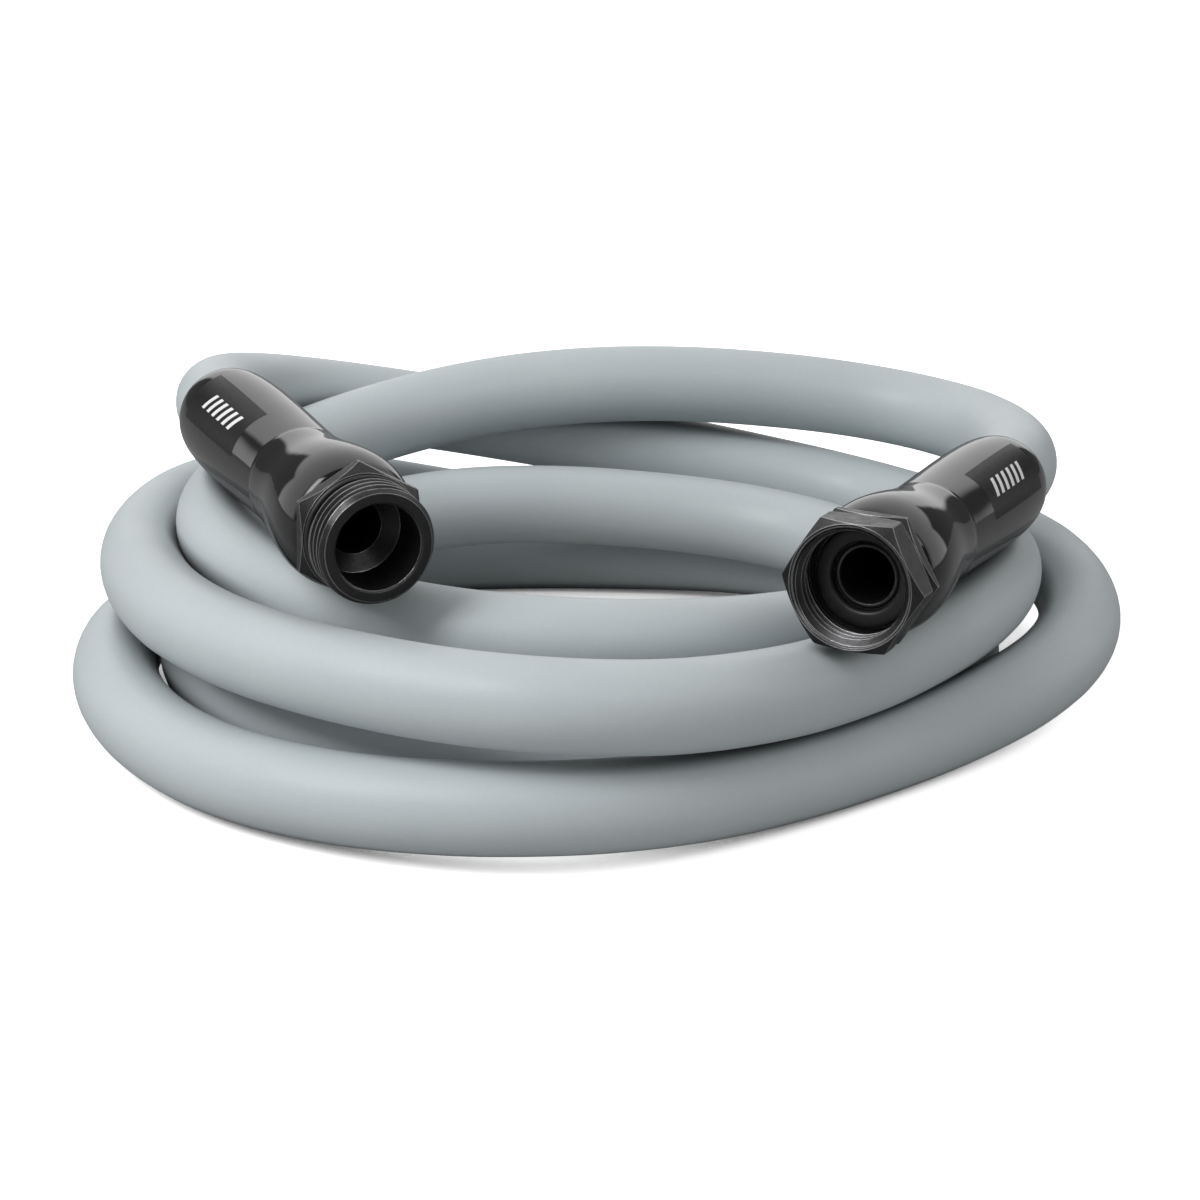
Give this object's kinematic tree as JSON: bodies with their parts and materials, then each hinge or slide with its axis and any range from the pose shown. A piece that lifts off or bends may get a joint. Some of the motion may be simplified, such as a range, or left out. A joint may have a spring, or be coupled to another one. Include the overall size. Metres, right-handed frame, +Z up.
{
  "type": "coiled water hose with swivel grips",
  "caption": "Short coiled water hose with a swivel hexagon nut at one end, a threaded fitting at the other and a free-turning moulded grip behind each.",
  "frame": {"origin": "middle of the footprint, on the floor", "axes": "+Z up; the mouths of both ends face -Y; the nut end is on +X and the threaded end on -X"},
  "size_m": [0.2632, 0.2449, 0.0825],
  "materials": {
    "hose_cover": "satin pale grey",
    "braid": "knitted white yarn",
    "liner": "smooth",
    "fitting": "satin black anodised",
    "seal": "smooth black",
    "grip": "gloss black",
    "spring_wire": "drawn wire",
    "slip_ring": "natural acetal"
  },
  "bodies": {
    "hose": {"hose_cover": "hose_cover", "hose_braid": "braid", "hose_liner": "liner", "female_stem": "fitting", "female_washer": "seal", "female_o_ring": "seal", "female_ferrule": "fitting", "male_stem": "fitting", "male_o_ring": "seal", "male_ferrule": "fitting"},
    "female_nut": {"female_nut": "fitting"},
    "female_grip": {"female_grip": "grip", "female_grip_retainer": "spring_wire", "female_slip_ring_front": "slip_ring", "female_slip_ring_rear": "slip_ring"},
    "male_grip": {"male_grip": "grip", "male_grip_retainer": "spring_wire", "male_slip_ring_front": "slip_ring", "male_slip_ring_rear": "slip_ring"}
  },
  "joints": [
    {"name": "female_nut_spin", "type": "hinge", "parent": "hose", "child": "female_nut", "pos_m": [0.05437, -0.08456, 0.05881], "axis": [-0.4224, -0.9059, 0.0314], "continuous": true},
    {"name": "female_grip_spin", "type": "hinge", "parent": "hose", "child": "female_grip", "pos_m": [0.07296, -0.0447, 0.05743], "axis": [-0.4224, -0.9059, 0.0314], "continuous": true},
    {"name": "male_grip_spin", "type": "hinge", "parent": "hose", "child": "male_grip", "pos_m": [-0.07188, -0.04489, 0.06731], "axis": [0.4225, -0.906, -0.0262], "continuous": true}
  ]
}
